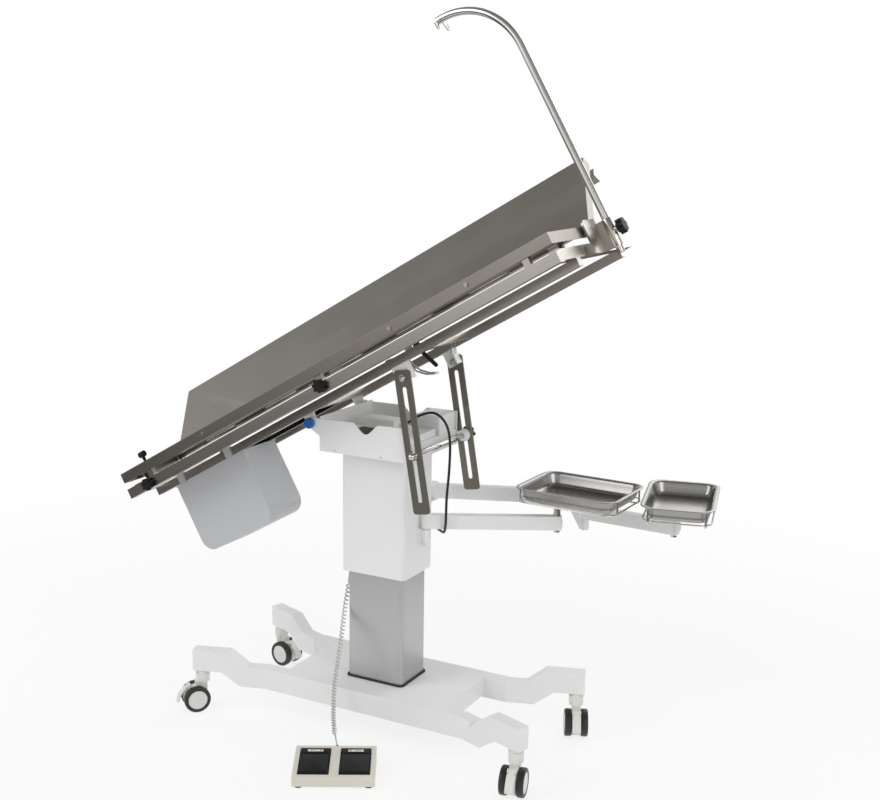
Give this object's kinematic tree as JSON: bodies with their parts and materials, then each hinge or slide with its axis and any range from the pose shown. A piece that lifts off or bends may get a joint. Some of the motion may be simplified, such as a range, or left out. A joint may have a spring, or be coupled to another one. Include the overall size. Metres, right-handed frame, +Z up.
{
  "type": "veterinary operating table",
  "caption": "Veterinary operating table on casters: lifting column, tilting stainless top with folding wings, slotted tilt links, drip pole, bucket, instrument tray arms and a foot switch.",
  "frame": {"origin": "on the floor, under the centre of the lifting column", "axes": "+X to the head end of the table, +Y to the far side, +Z up"},
  "size_m": [1.6809, 0.8605, 1.9315],
  "materials": {
    "white_coat": "satin powder coat",
    "brushed_steel": "brushed stainless",
    "bright_steel": "polished",
    "black_plastic": "matt",
    "black_rubber": "matt",
    "black_tyre": "matt",
    "ivory_plastic": "satin",
    "blue_plastic": "gloss",
    "clear_grey_plastic": "translucent",
    "grey_cord": "matt"
  },
  "bodies": {
    "base": {"base_frame": "white_coat", "column_tube": "brushed_steel", "column_gasket": "black_rubber", "foot_housing": "ivory_plastic", "foot_rubbers": "black_rubber", "curly_cord": "grey_cord"},
    "lift_head": {"shroud": "white_coat", "carriage": "white_coat", "carriage_insert": "black_plastic", "control_box": "white_coat", "tilt_rod": "bright_steel", "tilt_caps": "blue_plastic", "crossbar": "bright_steel", "arm_brackets": "white_coat", "control_lead": "black_rubber"},
    "crossbar_knob": {"crossbar_knob": "black_plastic"},
    "table": {"table_frame": "brushed_steel", "hinge_brackets": "white_coat", "link_brackets": "white_coat", "link_bolts": "bright_steel", "cross_shaft": "bright_steel", "rod_loops": "bright_steel", "pole_bracket": "brushed_steel", "hinge_rod": "brushed_steel"},
    "near_wing": {"near_pan": "brushed_steel", "near_rail": "brushed_steel", "tie_cleat": "black_plastic"},
    "far_wing": {"far_pan": "brushed_steel", "far_rail": "brushed_steel"},
    "rail_knob_mid": {"rail_knob_mid": "black_plastic"},
    "rail_knob_foot": {"rail_knob_foot": "black_plastic"},
    "table_lever": {"table_lever": "black_plastic"},
    "links": {"near_link": "brushed_steel", "far_link": "brushed_steel"},
    "drip_pole": {"drip_pole": "bright_steel"},
    "pole_knob": {"pole_knob": "black_plastic"},
    "bucket": {"bucket": "clear_grey_plastic"},
    "arm_a": {"arm_a": "white_coat"},
    "arm_two": {"arm_two": "white_coat"},
    "arm_b": {"arm_b": "white_coat"},
    "holder_one": {"holder_one": "bright_steel"},
    "holder_two": {"holder_two": "bright_steel"},
    "tray_one": {"tray_one_pan": "brushed_steel"},
    "tray_two": {"tray_two_pan": "brushed_steel"},
    "pedal_left": {"foot_pedal_left": "black_plastic"},
    "pedal_right": {"foot_pedal_right": "black_plastic"},
    "caster_nl": {"caster_nl_body": "ivory_plastic"},
    "wheels_nl": {"caster_nl_wheels": "black_tyre"},
    "brake_nl": {"caster_nl_brake": "ivory_plastic"},
    "caster_fl": {"caster_fl_body": "ivory_plastic"},
    "wheels_fl": {"caster_fl_wheels": "black_tyre"},
    "brake_fl": {"caster_fl_brake": "ivory_plastic"},
    "caster_nr": {"caster_nr_body": "ivory_plastic"},
    "wheels_nr": {"caster_nr_wheels": "black_tyre"},
    "brake_nr": {"caster_nr_brake": "ivory_plastic"},
    "caster_fr": {"caster_fr_body": "ivory_plastic"},
    "wheels_fr": {"caster_fr_wheels": "black_tyre"},
    "brake_fr": {"caster_fr_brake": "ivory_plastic"}
  },
  "joints": [
    {"name": "lift", "type": "slide", "parent": "base", "child": "lift_head", "axis": [0, 0, 1], "range_m": [-0.23, 0.06], "deforming": ["curly_cord"]},
    {"name": "tilt", "type": "hinge", "parent": "lift_head", "child": "table", "pos_m": [-0.16, 0, 0.863], "axis": [0, -1, 0], "range_deg": [-30, 8]},
    {"name": "link_swing", "type": "hinge", "parent": "table", "child": "links", "pos_m": [0.12705, 0, 1.01434], "axis": [0, -1, 0], "range_deg": [-4.5, 15.5]},
    {"name": "crossbar_knob_turn", "type": "hinge", "parent": "lift_head", "child": "crossbar_knob", "pos_m": [0.16102, 0.15, 0.8156], "axis": [0, 1, 0], "continuous": true},
    {"name": "near_wing_lift", "type": "hinge", "parent": "table", "child": "near_wing", "pos_m": [-0.07813, 0, 1.0344], "axis": [-0.866, 0, -0.5], "range_deg": [0, 47]},
    {"name": "far_wing_lift", "type": "hinge", "parent": "table", "child": "far_wing", "pos_m": [-0.07813, 0, 1.0344], "axis": [0.866, 0, 0.5], "range_deg": [-47, 0]},
    {"name": "rail_knob_mid_turn", "type": "hinge", "parent": "near_wing", "child": "rail_knob_mid", "pos_m": [-0.04757, -0.254, 0.99546], "axis": [0, -1, 0], "continuous": true},
    {"name": "rail_knob_foot_turn", "type": "hinge", "parent": "near_wing", "child": "rail_knob_foot", "pos_m": [-0.61651, -0.254, 0.6589], "axis": [0, -1, 0], "continuous": true},
    {"name": "table_lever_swing", "type": "hinge", "parent": "table", "child": "table_lever", "pos_m": [0.13123, -0.089, 1.09177], "axis": [0, -1, 0], "range_deg": [-20, 18]},
    {"name": "drip_pole_slide", "type": "slide", "parent": "table", "child": "drip_pole", "axis": [-0.5, 0, 0.866], "range_m": [-0.25, 0.03]},
    {"name": "pole_knob_turn", "type": "hinge", "parent": "table", "child": "pole_knob", "pos_m": [0.61953, 0.042, 1.40602], "axis": [0.866, 0, 0.5], "continuous": true},
    {"name": "bucket_slide", "type": "slide", "parent": "table", "child": "bucket", "axis": [0.866, 0, 0.5], "range_m": [-0.04, 0.12]},
    {"name": "arm_a_swing", "type": "hinge", "parent": "lift_head", "child": "arm_a", "pos_m": [0.056, 0.161, 0.638], "axis": [0, 0, 1], "range_deg": [0, 60]},
    {"name": "elbow_swing", "type": "hinge", "parent": "arm_a", "child": "arm_two", "pos_m": [0.451, 0.317, 0.596], "axis": [0, 0, 1], "range_deg": [0, 60]},
    {"name": "arm_b_swing", "type": "hinge", "parent": "lift_head", "child": "arm_b", "pos_m": [0.119, 0.004, 0.599], "axis": [0, 0, 1], "range_deg": [0, 15]},
    {"name": "holder_one_turn", "type": "hinge", "parent": "arm_b", "child": "holder_one", "pos_m": [0.428, 0.172, 0.64], "axis": [0, 0, 1], "range_deg": [-5, 8]},
    {"name": "holder_two_turn", "type": "hinge", "parent": "arm_two", "child": "holder_two", "pos_m": [0.712, 0.303, 0.64], "axis": [0, 0, 1], "range_deg": [0, 12]},
    {"name": "tray_one_lift", "type": "slide", "parent": "holder_one", "child": "tray_one", "axis": [0, 0, 1], "range_m": [0, 0.12]},
    {"name": "tray_two_lift", "type": "slide", "parent": "holder_two", "child": "tray_two", "axis": [0, 0, 1], "range_m": [0, 0.12]},
    {"name": "pedal_left_press", "type": "hinge", "parent": "base", "child": "pedal_left", "pos_m": [-0.01622, -0.33197, 0.03489], "axis": [0.8729, 0.4879, 0], "range_deg": [0, 4], "stiffness_Nm_per_rad": 3, "springref_deg": -8.59},
    {"name": "pedal_right_press", "type": "hinge", "parent": "base", "child": "pedal_right", "pos_m": [0.07544, -0.28074, 0.03489], "axis": [0.8729, 0.4879, 0], "range_deg": [0, 4], "stiffness_Nm_per_rad": 3, "springref_deg": -8.59},
    {"name": "caster_nl_swivel", "type": "hinge", "parent": "base", "child": "caster_nl", "pos_m": [-0.49299, -0.19424, 0.11], "axis": [0, 0, 1], "continuous": true},
    {"name": "wheels_nl_roll", "type": "hinge", "parent": "caster_nl", "child": "wheels_nl", "pos_m": [-0.50684, -0.21133, 0.0375], "axis": [0.7771, -0.6293, 0], "continuous": true},
    {"name": "brake_nl_press", "type": "hinge", "parent": "caster_nl", "child": "brake_nl", "pos_m": [-0.51851, -0.22575, 0.07238], "axis": [0.7771, -0.6293, 0], "range_deg": [0, 10]},
    {"name": "caster_fl_swivel", "type": "hinge", "parent": "base", "child": "caster_fl", "pos_m": [-0.49299, 0.19424, 0.11], "axis": [0, 0, 1], "continuous": true},
    {"name": "wheels_fl_roll", "type": "hinge", "parent": "caster_fl", "child": "wheels_fl", "pos_m": [-0.47132, 0.19042, 0.0375], "axis": [0.1736, 0.9848, 0], "continuous": true},
    {"name": "brake_fl_press", "type": "hinge", "parent": "caster_fl", "child": "brake_fl", "pos_m": [-0.45306, 0.1872, 0.07238], "axis": [0.1736, 0.9848, 0], "range_deg": [0, 10]},
    {"name": "caster_nr_swivel", "type": "hinge", "parent": "base", "child": "caster_nr", "pos_m": [0.49299, -0.19424, 0.11], "axis": [0, 0, 1], "continuous": true},
    {"name": "wheels_nr_roll", "type": "hinge", "parent": "caster_nr", "child": "wheels_nr", "pos_m": [0.49756, -0.21576, 0.0375], "axis": [0.9781, 0.2079, 0], "continuous": true},
    {"name": "brake_nr_press", "type": "hinge", "parent": "caster_nr", "child": "brake_nr", "pos_m": [0.50142, -0.23389, 0.07238], "axis": [0.9781, 0.2079, 0], "range_deg": [0, 10]},
    {"name": "caster_fr_swivel", "type": "hinge", "parent": "base", "child": "caster_fr", "pos_m": [0.49299, 0.19424, 0.11], "axis": [0, 0, 1], "continuous": true},
    {"name": "wheels_fr_roll", "type": "hinge", "parent": "caster_fr", "child": "wheels_fr", "pos_m": [0.50264, 0.17446, 0.0375], "axis": [0.8988, 0.4384, 0], "continuous": true},
    {"name": "brake_fr_press", "type": "hinge", "parent": "caster_fr", "child": "brake_fr", "pos_m": [0.51076, 0.15779, 0.07238], "axis": [0.8988, 0.4384, 0], "range_deg": [0, 10]}
  ],
  "couplings": [
    {"joint": "link_swing", "follows": "tilt", "ratio": -0.5}
  ]
}
